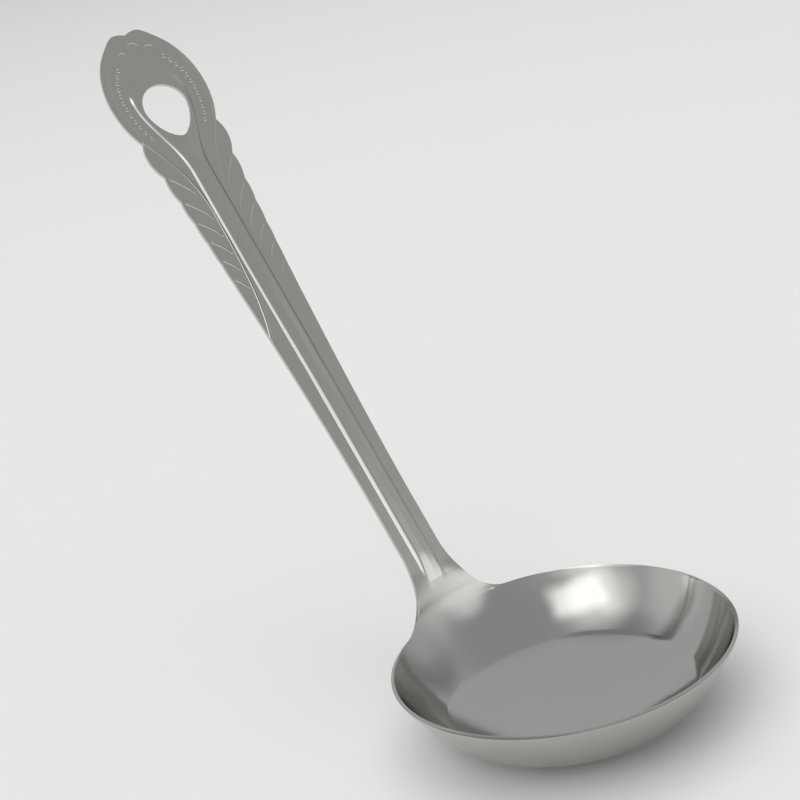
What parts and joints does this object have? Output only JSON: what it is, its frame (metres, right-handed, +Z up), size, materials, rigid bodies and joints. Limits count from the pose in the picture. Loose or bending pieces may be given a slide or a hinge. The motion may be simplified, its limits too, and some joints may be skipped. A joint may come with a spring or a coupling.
{
  "type": "soup ladle",
  "caption": "Polished stainless steel soup ladle with a round bowl and a stamped leaf-pattern handle with a hanging hole.",
  "frame": {"origin": "centre of the flat foot under the bowl", "axes": "+Z up along the bowl's axis with the rim level, +X from the bowl towards the handle, +Y to the left when looking along +X"},
  "size_m": [0.1915, 0.095, 0.1931],
  "materials": {
    "bowl_steel": "polished stainless steel with fine hand-polishing marks",
    "handle_steel": "pressed stainless steel, satin to polished"
  },
  "bodies": {
    "root": {"bowl": "bowl_steel", "handle": "handle_steel"}
  },
  "joints": []
}
